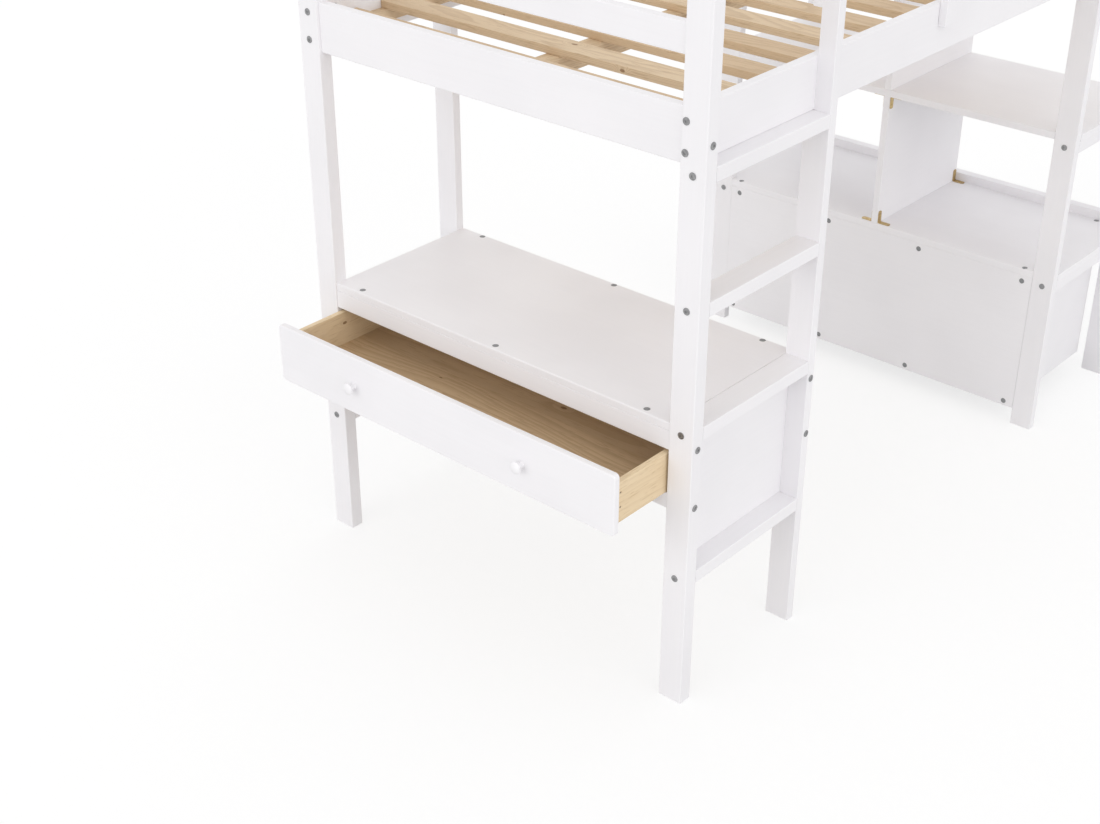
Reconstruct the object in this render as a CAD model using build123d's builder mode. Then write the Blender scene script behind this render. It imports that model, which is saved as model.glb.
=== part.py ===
from build123d import *
import os
from dataclasses import dataclass
from math import cos, radians, sin

os.makedirs("parts", exist_ok=True)

# A loft bed in millimetres. X runs across the bed, right positive, Y from the desk end to the shelf end,
# and Z up from the floor. The origin lies on the floor, in the middle of the bed's overall box with its
# drawer pulled out as it stands here.

# Whole bed
bed_width = 1070.0          # across the outer faces of the posts
bed_length = 1980.0         # from the near posts' front faces to the far posts' back faces
post_height = 1640.0
edge_ease = 1.5             # small chamfer along the edges of the painted boards

# Posts
post_width = 58.0
corner_post_t = 33.0
thin_post_t = 23.0
desk_depth = 416.0          # front face of the near posts to the back face of the desk's inner posts
shelf_depth = 450.0         # front face of the shelf posts to the back face of the far posts

# Bed frame
rail_bottom = 1197.0
rail_height = 107.0
rail_t = 20.0
ledger_width = 20.0
ledger_height = 25.0
slat_recess = 41.0          # from the rail's top edge down to the slats' upper faces
slat_t = 17.0
slat_width = 61.0
slat_pitch = 131.2
slat_count = 14
slat_first_gap = 35.0       # from the near posts' inner faces to the first slat
slat_end_gap = 1.0          # between the slats' ends and the side rails
beam_width = 38.0
beam_height = 39.0

# Guard boards and their uprights
guard_height = 57.0
guard_gap = 91.0            # rail to lower board, and lower board to upper board
upright_width = 58.0
upright_t = 18.0
upright_lap = 47.0          # how far an upright reaches down over the side rail
upright_inset = 475.0       # right guard boards' ends to the middles of the uprights

# Ladder
rung_t = 30.0
foot_rung_top = 326.0

# Desk
desk_height = 663.0
desk_top_t = 18.0
apron_height = 42.0
desk_rail_t = 28.0
drawer_opening = 99.5       # height between the apron and the lower front rail
lower_rail_height = 36.0
side_panel_t = 12.0
runner_width = 28.0
runner_height = 20.0

# Drawer
drawer_pull = 156.0         # how far it stands open here
front_t = 14.0
front_lap_above = 20.5      # how far the front covers the apron
front_lap_below = 18.0      # and the lower rail
front_lap_side = 5.0        # and each post
front_corner_r = 9.0
front_edge_ease = 2.0
box_side_gap = 4.5          # box to post, each side
box_slide_gap = 0.3         # box over its runners
box_head_gap = 8.0          # box under the apron
box_rear_gap = 42.5         # closed box to the back rails
front_stop_gap = 0.5        # closed front to the posts
box_side_t = 12.0
box_bottom_t = 4.0
box_bottom_rise = 8.0       # lower edge of the sides to the bottom panel
groove_depth = 5.0
groove_gap = 0.2
knob_spacing = 486.0
knob_reach = 24.0
knob_head_r = 13.5
knob_neck_r = 6.5
knob_foot_r = 8.5
knob_foot_t = 3.0
knob_rim_t = 3.0
knob_flare = 5.0            # rise of the head's underside from neck to rim
knob_crown = 4.0            # bulge of the knob's face

# Shelf tower
cabinet_height = 449.0
cabinet_top_t = 18.0
cabinet_panel_t = 15.0
cabinet_board_t = 15.0
panel_floor_gap = 44.5
bottom_rise = 6.0           # cabinet bottom above the panel's lower edge
cabinet_side_inset = 28.0   # posts' inner faces to the middle of each cabinet side
partition_spacing = 287.0   # between the middles of the two partitions
lip_rise = 24.0             # far stretcher above the cabinet top
lip_height = 43.0
shelf_height = 826.0
shelf_t = 18.0
divider_t = 18.0
notch_gap = 0.5             # boards around the posts
bracket_arm = 34.0
bracket_width = 14.0
bracket_t = 2.0
bracket_inset = 10.0        # divider's end to the middle of a bracket
bracket_round = 5.0
length_match = 0.1          # how closely a bracket's short edges are picked by their length

# Fasteners. Dozens of them repeat, so their round parts are prisms of a few sides.
head_sides = 16
shank_sides = 8
bolt_head_r = 7.5
bolt_head_t = 1.5
bolt_shank_r = 3.0
bolt_bore_gap = 0.3
bolt_grip = 45.0            # shank beyond the post
bolt_end_gap = 3.0
rail_bolt_edge = 24.0       # side rail's edges to its two bolts
end_bolt_rise = 44.5        # rail's lower edge to the end rail's bolt
apron_bolt_drop = 26.0      # under the desk top to the apron's bolts
nut_r = 5.0
nut_length = 14.0
nut_gap = 0.3
nut_back = 9.0              # shank's tip to the middle of its barrel nut
screw_r = 1.8
screw_bore_gap = 0.2
screw_angle = 24.0          # drawer screws, from the side's own plane
screw_entry = 18.0          # drawer front to where its screws enter the sides
screw_length = 30.0
screw_spacing = 33.0
cap_r = 7.0
cap_t = 1.6
cap_recess = 2.0
cap_gap = 0.2
desk_cap_inset = 70.0       # posts' inner faces to the outer caps of the desk top
desk_cap_edge = 15.5        # desk top's front edge to its front row of caps
desk_cap_back = 7.0         # and its back edge to the back row
panel_cap_edge = 17.5       # cabinet panel's upper edge to its upper row of caps

# Places worked out from the sizes above
half_width = bed_width / 2
inner_x = half_width - post_width
post_x = half_width - post_width / 2
front_reach = drawer_pull + front_t + knob_reach
front_y = (front_reach - bed_length - bolt_head_t) / 2
back_y = front_y + bed_length
desk_back_y = front_y + desk_depth
desk_post_y = desk_back_y - thin_post_t
shelf_front_y = back_y - shelf_depth
rail_top = rail_bottom + rail_height
slat_top = rail_top - slat_recess
slat_bottom = slat_top - slat_t
near_inner_y = front_y + corner_post_t
far_inner_y = back_y - corner_post_t
near_mid_y = front_y + corner_post_t / 2
far_mid_y = back_y - corner_post_t / 2
desk_post_mid_y = desk_post_y + thin_post_t / 2
right_rail_x = inner_x + rail_t / 2
left_rail_x = -post_x
desk_under = desk_height - desk_top_t
apron_bottom = desk_under - apron_height
lower_rail_top = apron_bottom - drawer_opening
lower_rail_bottom = lower_rail_top - lower_rail_height
cabinet_under = cabinet_height - cabinet_top_t
shelf_under = shelf_height - shelf_t
lip_y = far_mid_y - desk_rail_t / 2
rung_tops = (rail_bottom, (rail_bottom + desk_height) / 2, desk_height, foot_rung_top)

SIDES = {"left": -1, "right": 1}


@dataclass
class Bolt:
    """A bolt by its seat, a plane whose normal points out of the wood, and the length of its shank."""

    seat: Plane
    shank: float


def bolt_through(x, y, z, towards, post_t):
    """Bolt that enters a post at a point, in a given direction, and grips the board behind the post."""
    outward = (-towards[0], -towards[1], -towards[2])
    return Bolt(Plane(origin=(x, y, z), z_dir=outward), post_t + bolt_grip)


def drill(seat, radius, depth, sides=shank_sides):
    """Hole of a given clear radius and depth below a plane, in the part that is being built."""
    with BuildSketch(seat) as mouth:
        RegularPolygon(radius, sides, major_radius=False)
    extrude(mouth.sketch, amount=-depth, mode=Mode.SUBTRACT)


def rod(seat, radius, start, length, sides=shank_sides):
    """Round bar that starts at a height over a plane and runs down into it, in the part being built."""
    with BuildSketch(seat.offset(start)) as section:
        RegularPolygon(radius, sides)
    extrude(section.sketch, amount=-length)


def bore(bolts):
    """Holes for the given bolts, in the part that is being built."""
    for bolt in bolts:
        drill(bolt.seat, bolt_shank_r + bolt_bore_gap, bolt.shank + bolt_end_gap)


def save(piece, label):
    """Name a finished piece and write it."""
    piece.part.label = label
    export_step(piece.part, f"parts/{label}.step")


def sink_caps(planes):
    """Shallow recesses for screw caps, in the part that is being built."""
    for plane in planes:
        drill(plane, cap_r + cap_gap, cap_recess, head_sides)


def board(label, x, y, z, along, ease=edge_ease, bolts=(), caps=()):
    """Straight board between three pairs of limits, eased along its edges, bored for bolts and caps."""
    middle = {"x": sum(x) / 2, "y": sum(y) / 2, "z": sum(z) / 2}
    size = {"x": x[1] - x[0], "y": y[1] - y[0], "z": z[1] - z[0]}
    low = {"x": x[0], "y": y[0], "z": z[0]}
    across, normal, x_dir, wide, high = {
        "x": ("yz", (1, 0, 0), (0, 1, 0), "y", "z"),
        "y": ("xz", (0, 1, 0), (1, 0, 0), "x", "z"),
        "z": ("xy", (0, 0, 1), (1, 0, 0), "x", "y"),
    }[along]
    start = {axis: middle[axis] if axis in across else low[axis] for axis in "xyz"}
    section_plane = Plane(origin=(start["x"], start["y"], start["z"]), x_dir=x_dir, z_dir=normal)
    with BuildPart() as piece:
        with BuildSketch(section_plane) as section:
            Rectangle(size[wide], size[high])
            if ease:
                chamfer(section.vertices(), ease)
        extrude(amount=size[along])
        bore(bolts)
        sink_caps(caps)
    save(piece, label)


# Bolts, by the pieces they join

rail_bolts = {}
end_bolts = {}
rail_bolt_heights = (rail_bottom + rail_bolt_edge, rail_top - rail_bolt_edge)
for side, sign in SIDES.items():
    rail_x = right_rail_x if sign > 0 else left_rail_x
    rail_bolts[side, "near"] = [
        bolt_through(rail_x, front_y, z, (0, 1, 0), corner_post_t) for z in rail_bolt_heights
    ]
    rail_bolts[side, "far"] = [
        bolt_through(rail_x, back_y, z, (0, -1, 0), corner_post_t) for z in rail_bolt_heights
    ]
    for end, y in (("near", near_mid_y), ("far", far_mid_y)):
        end_bolts[side, end] = bolt_through(
            sign * half_width, y, rail_bottom + end_bolt_rise, (-sign, 0, 0), post_width
        )

desk_bolt_heights = {
    "apron": desk_under - apron_bolt_drop,
    "lower": (lower_rail_bottom + lower_rail_top) / 2,
}
desk_bolts = {
    (side, row, level): bolt_through(sign * half_width, y, z, (-sign, 0, 0), post_width)
    for side, sign in SIDES.items()
    for row, y in (("front", near_mid_y), ("back", desk_post_mid_y))
    for level, z in desk_bolt_heights.items()
}


def rung_bolt_pair(sign, top):
    """The two bolts of a rung or stretcher of the desk, one through each of its posts."""
    z = top - rung_t / 2
    return [
        bolt_through(sign * post_x, front_y, z, (0, 1, 0), corner_post_t),
        bolt_through(sign * post_x, desk_back_y, z, (0, -1, 0), thin_post_t),
    ]


rung_bolts = [rung_bolt_pair(1, top) for top in rung_tops]
left_stretcher_bolts = rung_bolt_pair(-1, foot_rung_top)
tower_bolts = {
    (side, level): [
        bolt_through(sign * post_x, shelf_front_y, top - rung_t / 2, (0, 1, 0), thin_post_t),
        bolt_through(sign * post_x, back_y, top - rung_t / 2, (0, -1, 0), corner_post_t),
    ]
    for side, sign in SIDES.items()
    for level, top in (("cabinet", cabinet_under), ("shelf", shelf_under))
}
lip_z = (cabinet_height + lip_rise - lip_height, cabinet_height + lip_rise)
lip_bolts = {
    side: bolt_through(sign * half_width, far_mid_y, sum(lip_z) / 2, (-sign, 0, 0), post_width)
    for side, sign in SIDES.items()
}

# Posts

post_spans = {side: sorted((sign * inner_x, sign * half_width)) for side, sign in SIDES.items()}

for side in SIDES:
    near_bolts = rail_bolts[side, "near"] + [end_bolts[side, "near"]]
    near_bolts += [desk_bolts[side, "front", level] for level in desk_bolt_heights]
    near_bolts += [pair[0] for pair in rung_bolts] if side == "right" else [left_stretcher_bolts[0]]
    board(
        f"end_post_{side}",
        post_spans[side],
        (front_y, near_inner_y),
        (0, post_height),
        "z",
        bolts=near_bolts,
    )
    far_bolts = rail_bolts[side, "far"] + [end_bolts[side, "far"], lip_bolts[side]]
    far_bolts += [tower_bolts[side, level][1] for level in ("cabinet", "shelf")]
    board(
        f"far_post_{side}",
        post_spans[side],
        (far_inner_y, back_y),
        (0, post_height),
        "z",
        bolts=far_bolts,
    )
    board(
        f"shelf_post_{side}",
        post_spans[side],
        (shelf_front_y, shelf_front_y + thin_post_t),
        (0, rail_bottom),
        "z",
        bolts=[tower_bolts[side, level][0] for level in ("cabinet", "shelf")],
    )

board(
    "inner_post_left",
    post_spans["left"],
    (desk_post_y, desk_back_y),
    (0, rail_bottom),
    "z",
    bolts=[desk_bolts["left", "back", level] for level in desk_bolt_heights] + [left_stretcher_bolts[1]],
)

# The ladder post stands outside the side rail, so it is notched from the rail's lower edge upwards.
rail_outer_x = inner_x + rail_t
with BuildPart() as ladder_post:
    with BuildSketch(Plane.XZ.offset(-desk_post_y)) as outline:
        with BuildLine():
            Polyline(
                (inner_x, 0),
                (half_width, 0),
                (half_width, post_height),
                (rail_outer_x, post_height),
                (rail_outer_x, rail_bottom),
                (inner_x, rail_bottom),
                close=True,
            )
        make_face()
    extrude(amount=-thin_post_t)
    outer_edges = ladder_post.edges().filter_by(Axis.Z).group_by(Axis.X)[-1]
    chamfer(outer_edges, edge_ease)
    bore([desk_bolts["right", "back", level] for level in desk_bolt_heights])
    bore([pair[1] for pair in rung_bolts])
save(ladder_post, "ladder_post")

# Bed frame

beam_z = (slat_bottom - beam_height, slat_bottom)
ledger_z = (slat_bottom - ledger_height, slat_bottom)
end_rail_y = {
    "near": (near_mid_y - rail_t / 2, near_mid_y + rail_t / 2),
    "far": (far_mid_y - rail_t / 2, far_mid_y + rail_t / 2),
}
rail_spans = {
    "left": (left_rail_x - rail_t / 2, left_rail_x + rail_t / 2),
    "right": (right_rail_x - rail_t / 2, right_rail_x + rail_t / 2),
}
nut_depth = bolt_grip - nut_back


def barrel_nut_planes(side):
    """Planes on a side rail's inner face, over the middles of its four barrel nuts."""
    face_x = rail_spans[side][1] if side == "left" else rail_spans[side][0]
    inward = (1, 0, 0) if side == "left" else (-1, 0, 0)
    return [
        Plane(origin=(face_x, y, z), z_dir=inward)
        for y in (near_inner_y + nut_depth, far_inner_y - nut_depth)
        for z in rail_bolt_heights
    ]


for side in SIDES:
    with BuildPart() as side_rail:
        rail_plane = Plane(
            origin=(sum(rail_spans[side]) / 2, near_inner_y, (rail_bottom + rail_top) / 2),
            x_dir=(1, 0, 0),
            z_dir=(0, 1, 0),
        )
        with BuildSketch(rail_plane) as section:
            Rectangle(rail_t, rail_height)
            chamfer(section.vertices(), edge_ease)
        extrude(amount=far_inner_y - near_inner_y)
        bore(rail_bolts[side, "near"] + rail_bolts[side, "far"])
        for plane in barrel_nut_planes(side):
            drill(plane, nut_r + nut_gap, nut_length + nut_gap)
    save(side_rail, f"side_rail_{side}")

    inner_face = rail_spans[side][1] if side == "left" else rail_spans[side][0]
    ledger_x = sorted((inner_face, inner_face - SIDES[side] * ledger_width))
    board(f"slat_ledger_{side}", ledger_x, (near_inner_y, far_inner_y), ledger_z, "y", ease=0)

for end, y_span in end_rail_y.items():
    board(
        f"end_rail_{end}",
        (-inner_x, inner_x),
        y_span,
        (rail_bottom, rail_top),
        "x",
        bolts=[end_bolts[side, end] for side in SIDES],
    )

board(
    "centre_beam",
    (-beam_width / 2, beam_width / 2),
    (end_rail_y["near"][1], end_rail_y["far"][0]),
    beam_z,
    "y",
)

# Slats at an even pitch from the near end. They lie on the ledgers and on the beam.
slat_x = (rail_spans["left"][1] + slat_end_gap, rail_spans["right"][0] - slat_end_gap)
slat_start_y = near_inner_y + slat_first_gap
slat_mid_y = slat_start_y + (slat_width + (slat_count - 1) * slat_pitch) / 2
with BuildPart() as bed_slats:
    slat_plane = Plane(origin=(sum(slat_x) / 2, slat_mid_y, slat_bottom))
    with BuildSketch(slat_plane):
        with GridLocations(slat_width, slat_pitch, 1, slat_count):
            Rectangle(slat_x[1] - slat_x[0], slat_width)
    extrude(amount=slat_t)
    chamfer(bed_slats.edges().filter_by(Axis.X).group_by(Axis.Z)[-1], edge_ease)
save(bed_slats, "bed_slats")

# Guard boards, two at each end and two along each side. The right pair starts at the ladder post, which
# leaves the way in from the ladder open.

guard_levels = [rail_top + guard_gap + step * (guard_height + guard_gap) for step in range(2)]
guard_top = guard_levels[-1] + guard_height


def guard_pair(label, x, y, along):
    """Two equal guard boards above each other, as one piece of two solids."""
    middle = (sum(x) / 2, sum(y) / 2, guard_levels[0] + guard_height / 2)
    length = x[1] - x[0] if along == "x" else y[1] - y[0]
    if along == "x":
        plane = Plane(origin=(x[0], middle[1], middle[2]), x_dir=(0, 1, 0), z_dir=(1, 0, 0))
    else:
        plane = Plane(origin=(middle[0], y[0], middle[2]), x_dir=(-1, 0, 0), z_dir=(0, 1, 0))
    with BuildPart() as pair:
        with BuildSketch(plane) as section:
            with Locations((0, 0), (0, guard_height + guard_gap)):
                Rectangle(rail_t, guard_height)
            chamfer(section.vertices(), edge_ease)
        extrude(amount=length)
    save(pair, label)


for end, y_span in end_rail_y.items():
    guard_pair(f"guard_boards_{end}", (-inner_x, inner_x), y_span, "x")
guard_pair("guard_boards_left", rail_spans["left"], (near_inner_y, far_inner_y), "y")
guard_pair("guard_boards_right", rail_spans["right"], (desk_post_y, far_inner_y), "y")

# Two uprights on the outside of each side, equally far from the two ends of the right guard boards.
upright_ys = (desk_post_y + upright_inset, far_inner_y - upright_inset)
with BuildPart() as guard_uprights:
    with BuildSketch(Plane.XY.offset(rail_top - upright_lap)) as section:
        for side, sign in SIDES.items():
            outer_face = rail_spans[side][1] if sign > 0 else rail_spans[side][0]
            with Locations(*((outer_face + sign * upright_t / 2, y) for y in upright_ys)):
                Rectangle(upright_t, upright_width)
        chamfer(section.vertices(), edge_ease)
    extrude(amount=guard_top - rail_top + upright_lap)
save(guard_uprights, "guard_uprights")

# Ladder rungs between the right end post and the ladder post, and the stretcher opposite the lowest one

rung_y = (near_inner_y, desk_post_y)
for number, (top, bolts) in enumerate(zip(rung_tops, rung_bolts), start=1):
    board(f"ladder_rung_{number}", post_spans["right"], rung_y, (top - rung_t, top), "y", bolts=bolts)
board(
    "desk_stretcher_left",
    post_spans["left"],
    rung_y,
    (foot_rung_top - rung_t, foot_rung_top),
    "y",
    bolts=left_stretcher_bolts,
)

# Desk

desk_rail_y = {
    "front": (near_mid_y - desk_rail_t / 2, near_mid_y + desk_rail_t / 2),
    "back": (desk_post_y, desk_back_y),
}
desk_cap_x = inner_x - desk_cap_inset
desk_cap_planes = [
    Plane(origin=(x, y, desk_height))
    for x in (-desk_cap_x, 0, desk_cap_x)
    for y in (desk_rail_y["front"][0] + desk_cap_edge, desk_back_y - desk_cap_back)
]
board(
    "desk_top",
    (-inner_x, inner_x),
    (desk_rail_y["front"][0], desk_back_y),
    (desk_under, desk_height),
    "x",
    caps=desk_cap_planes,
)
for row, y_span in desk_rail_y.items():
    for name, level, z_span in (
        ("desk_apron", "apron", (apron_bottom, desk_under)),
        ("desk_lower_rail", "lower", (lower_rail_bottom, lower_rail_top)),
    ):
        board(
            f"{name}_{row}",
            (-inner_x, inner_x),
            y_span,
            z_span,
            "x",
            bolts=[desk_bolts[side, row, level] for side in SIDES],
        )

for side, sign in SIDES.items():
    panel_top = desk_height - rung_t if side == "right" else desk_under
    panel_x = sorted((sign * inner_x, sign * (inner_x + side_panel_t)))
    board(f"desk_side_panel_{side}", panel_x, rung_y, (foot_rung_top, panel_top), "y", ease=0)
    runner_x = sorted((sign * inner_x, sign * (inner_x - runner_width)))
    runner_y = (desk_rail_y["front"][1], desk_rail_y["back"][0])
    runner_z = (lower_rail_top - runner_height, lower_rail_top)
    board(f"drawer_runner_{side}", runner_x, runner_y, runner_z, "y", ease=0)

# Drawer

front_z = (lower_rail_top - front_lap_below, apron_bottom + front_lap_above)
front_mid_z = sum(front_z) / 2
front_width = 2 * (inner_x + front_lap_side)
front_back_y = front_y - drawer_pull
front_face_y = front_back_y - front_t
box_outer_x = inner_x - box_side_gap
box_inner_x = box_outer_x - box_side_t
box_z = (lower_rail_top + box_slide_gap, apron_bottom - box_head_gap)
box_length = desk_post_y - front_y - front_stop_gap - box_rear_gap
box_y = (front_back_y, front_back_y + box_length)
bottom_z = (box_z[0] + box_bottom_rise, box_z[0] + box_bottom_rise + box_bottom_t)
groove_z = (bottom_z[0] - groove_gap, bottom_z[1] + groove_gap)
groove_mid_z = sum(groove_z) / 2
groove_height = groove_z[1] - groove_z[0]

screw_turn = radians(screw_angle)
screw_heights = [front_mid_z - screw_spacing / 2, front_mid_z + screw_spacing / 2]


def drawer_screw_planes(sign):
    """Planes at the mouths of the slanting screw holes in one drawer side, normals out of the wood."""
    front_lean = (sign * sin(screw_turn), cos(screw_turn), 0)
    entry_y = box_y[0] + screw_entry
    return [Plane(origin=(sign * box_outer_x, entry_y, z), z_dir=front_lean) for z in screw_heights]


with BuildPart() as drawer_front:
    front_plane = Plane(origin=(0, front_back_y, front_mid_z), x_dir=(1, 0, 0), z_dir=(0, -1, 0))
    with BuildSketch(front_plane):
        RectangleRounded(front_width, front_z[1] - front_z[0], front_corner_r)
    extrude(amount=front_t)
    chamfer(drawer_front.faces().sort_by(Axis.Y)[0].edges(), front_edge_ease)
    with BuildSketch(Plane(origin=(0, front_back_y, groove_mid_z), x_dir=(1, 0, 0), z_dir=(0, -1, 0))):
        Rectangle(2 * (box_inner_x + groove_depth), groove_height)
    extrude(amount=groove_depth, mode=Mode.SUBTRACT)
    for sign in SIDES.values():
        for plane in drawer_screw_planes(sign):
            drill(plane, screw_r + screw_bore_gap, screw_length + screw_bore_gap)
save(drawer_front, "drawer_front")

for side, sign in SIDES.items():
    with BuildPart() as drawer_side:
        side_plane = Plane(
            origin=(sign * (box_outer_x + box_inner_x) / 2, box_y[0], sum(box_z) / 2),
            x_dir=(1, 0, 0),
            z_dir=(0, 1, 0),
        )
        with BuildSketch(side_plane):
            Rectangle(box_side_t, box_z[1] - box_z[0])
        extrude(amount=box_length)
        groove_plane = Plane(
            origin=(sign * (box_inner_x + groove_depth / 2), box_y[0], groove_mid_z),
            x_dir=(1, 0, 0),
            z_dir=(0, 1, 0),
        )
        with BuildSketch(groove_plane):
            Rectangle(groove_depth, groove_height)
        extrude(amount=box_length, mode=Mode.SUBTRACT)
        for plane in drawer_screw_planes(sign):
            drill(plane, screw_r + screw_bore_gap, screw_length + screw_bore_gap)
    save(drawer_side, f"drawer_side_{side}")

board(
    "drawer_back",
    (-box_inner_x, box_inner_x),
    (box_y[1] - box_side_t, box_y[1]),
    (bottom_z[1], box_z[1]),
    "x",
    ease=0,
)
bottom_half = box_inner_x + groove_depth - groove_gap
board(
    "drawer_bottom",
    (-bottom_half, bottom_half),
    (box_y[0] - groove_depth + groove_gap, box_y[1]),
    bottom_z,
    "x",
    ease=0,
)

# A knob is turned: a foot that tapers to the neck, a head that flares out to its rim, and a domed face.
knob_rim_y = knob_reach - knob_crown
knob_flare_y = knob_rim_y - knob_rim_t
with BuildPart() as drawer_knobs:
    for sign in SIDES.values():
        knob_plane = Plane(origin=(sign * knob_spacing / 2, front_face_y, front_mid_z), x_dir=(1, 0, 0))
        with BuildSketch(knob_plane):
            with BuildLine():
                Polyline(
                    (0, -knob_reach),
                    (0, 0),
                    (knob_foot_r, 0),
                    (knob_neck_r, -knob_foot_t),
                    (knob_neck_r, -(knob_flare_y - knob_flare)),
                    (knob_head_r, -knob_flare_y),
                    (knob_head_r, -knob_rim_y),
                )
                TangentArc((0, -knob_reach), (knob_head_r, -knob_rim_y), tangent=(1, 0))
            make_face()
        revolve(axis=Axis(knob_plane.origin, (0, 1, 0)))
save(drawer_knobs, "drawer_knobs")

with BuildPart() as drawer_screws:
    for sign in SIDES.values():
        for plane in drawer_screw_planes(sign):
            rod(plane, screw_r, -screw_r, screw_length - screw_r)
save(drawer_screws, "drawer_screws")

# Shelf tower

tower_mid_y = shelf_front_y + thin_post_t
panel_y = (shelf_front_y, shelf_front_y + cabinet_panel_t)
cabinet_y = (panel_y[1], lip_y)
cabinet_side_x = inner_x - cabinet_side_inset
stretcher_y = (tower_mid_y, far_inner_y)

bottom_board_z = (panel_floor_gap + bottom_rise, panel_floor_gap + bottom_rise + cabinet_board_t)
column_xs = (-cabinet_side_x, -partition_spacing / 2, partition_spacing / 2, cabinet_side_x)
panel_cap_planes = [
    Plane(origin=(x, shelf_front_y, z), z_dir=(0, -1, 0))
    for x in column_xs
    for z in (sum(bottom_board_z) / 2, cabinet_under - panel_cap_edge)
]
top_cap_planes = [
    Plane(origin=(x, y, cabinet_height))
    for x in (-cabinet_side_x, cabinet_side_x)
    for y in (sum(panel_y) / 2, lip_y - cabinet_board_t / 2)
]
board(
    "cabinet_panel",
    (-inner_x, inner_x),
    panel_y,
    (panel_floor_gap, cabinet_under),
    "x",
    caps=panel_cap_planes,
)
board(
    "far_stretcher",
    (-inner_x, inner_x),
    (lip_y, lip_y + desk_rail_t),
    lip_z,
    "x",
    bolts=[lip_bolts[side] for side in SIDES],
)


def notched_board(label, z, thickness, caps=()):
    """Board of the shelf tower that rests on its side stretchers and is notched around the posts."""
    with BuildPart() as piece:
        with BuildSketch(Plane.XY.offset(z)):
            with Locations((0, (shelf_front_y + lip_y) / 2)):
                Rectangle(2 * inner_x, lip_y - shelf_front_y)
            with Locations((0, sum(stretcher_y) / 2)):
                Rectangle(bed_width, stretcher_y[1] - stretcher_y[0] - 2 * notch_gap)
        extrude(amount=thickness)
        chamfer(piece.faces().sort_by(Axis.Z)[-1].edges().filter_by(Axis.X).sort_by(Axis.Y)[0], edge_ease)
        sink_caps(caps)
    save(piece, label)


notched_board("cabinet_top", cabinet_under, cabinet_top_t, top_cap_planes)
notched_board("shelf_board", shelf_under, shelf_t)

for side in SIDES:
    for level, top in (("cabinet", cabinet_under), ("shelf", shelf_under)):
        board(
            f"{level}_stretcher_{side}",
            post_spans[side],
            stretcher_y,
            (top - rung_t, top),
            "y",
            bolts=tower_bolts[side, level],
        )

board_half = cabinet_board_t / 2
for side, sign in SIDES.items():
    side_mid = sign * cabinet_side_x
    side_span = (side_mid - board_half, side_mid + board_half)
    side_z = (panel_floor_gap, cabinet_under)
    board(f"cabinet_side_{side}", side_span, cabinet_y, side_z, "z", ease=0)

bottom_x = cabinet_side_x - board_half
board("cabinet_bottom", (-bottom_x, bottom_x), cabinet_y, bottom_board_z, "x", ease=0)

with BuildPart() as cabinet_partitions:
    with BuildSketch(Plane(origin=(0, sum(cabinet_y) / 2, bottom_board_z[1]))):
        with GridLocations(partition_spacing, cabinet_board_t, 2, 1):
            Rectangle(cabinet_board_t, cabinet_y[1] - cabinet_y[0])
    extrude(amount=cabinet_under - bottom_board_z[1])
save(cabinet_partitions, "cabinet_partitions")

divider_x = (-divider_t / 2, divider_t / 2)
divider_y = (shelf_front_y, lip_y)
board("shelf_divider_lower", divider_x, divider_y, (cabinet_height, shelf_under), "y", ease=0)
board("shelf_divider_upper", divider_x, divider_y, (shelf_height, beam_z[0]), "y", ease=0)


def bracket_profile(sign, up, z):
    """Angle of two arms from the corner between the divider's face and a board's face."""
    face = sign * divider_t / 2
    tip = sign * bracket_arm
    thick = sign * bracket_t
    Polyline(
        (face, z),
        (face + tip, z),
        (face + tip, z + up * bracket_t),
        (face + thick, z + up * bracket_t),
        (face + thick, z + up * bracket_arm),
        (face, z + up * bracket_arm),
        close=True,
    )


with BuildPart() as shelf_brackets:
    for sign in SIDES.values():
        for up, z in ((1, cabinet_height), (-1, shelf_under)):
            for y in (divider_y[0] + bracket_inset, divider_y[1] - bracket_inset):
                with BuildSketch(Plane.XZ.offset(-y)):
                    with BuildLine():
                        bracket_profile(sign, up, z)
                    make_face()
                extrude(amount=bracket_width / 2, both=True)
    arm_ends = shelf_brackets.edges().filter_by(lambda edge: abs(edge.length - bracket_t) < length_match)
    chamfer(arm_ends.filter_by(Axis.Z) + arm_ends.filter_by(Axis.X), bracket_round)
save(shelf_brackets, "shelf_brackets")

# Fasteners

all_bolts = [bolt for group in rail_bolts.values() for bolt in group]
all_bolts += list(end_bolts.values()) + list(desk_bolts.values()) + list(lip_bolts.values())
all_bolts += [bolt for pair in rung_bolts for bolt in pair] + left_stretcher_bolts
all_bolts += [bolt for pair in tower_bolts.values() for bolt in pair]

with BuildPart() as frame_bolts:
    for bolt in all_bolts:
        rod(bolt.seat, bolt_head_r, bolt_head_t, bolt_head_t, head_sides)
        rod(bolt.seat, bolt_shank_r, 0, bolt.shank)
save(frame_bolts, "frame_bolts")

with BuildPart() as barrel_nuts:
    for side in SIDES:
        for plane in barrel_nut_planes(side):
            rod(plane, nut_r, 0, nut_length)
    bore([bolt for group in rail_bolts.values() for bolt in group])
save(barrel_nuts, "barrel_nuts")

with BuildPart() as screw_caps:
    for plane in desk_cap_planes + panel_cap_planes + top_cap_planes:
        rod(plane, cap_r, cap_t - cap_recess, cap_t, head_sides)
save(screw_caps, "screw_caps")
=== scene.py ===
"""Looks of a white loft bed with a desk, a ladder and a shelf tower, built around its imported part.

Everything is in metres, in the part's own frame: X runs across the bed towards the ladder side, Y from the
desk end to the shelf end, and Z up from the floor.
"""

import logging
import math
from abc import ABC, abstractmethod
from collections.abc import Iterable, Sequence
from dataclasses import dataclass, field
from enum import Enum

import bpy
import numpy as np
from mathutils import Matrix, Vector

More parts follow.
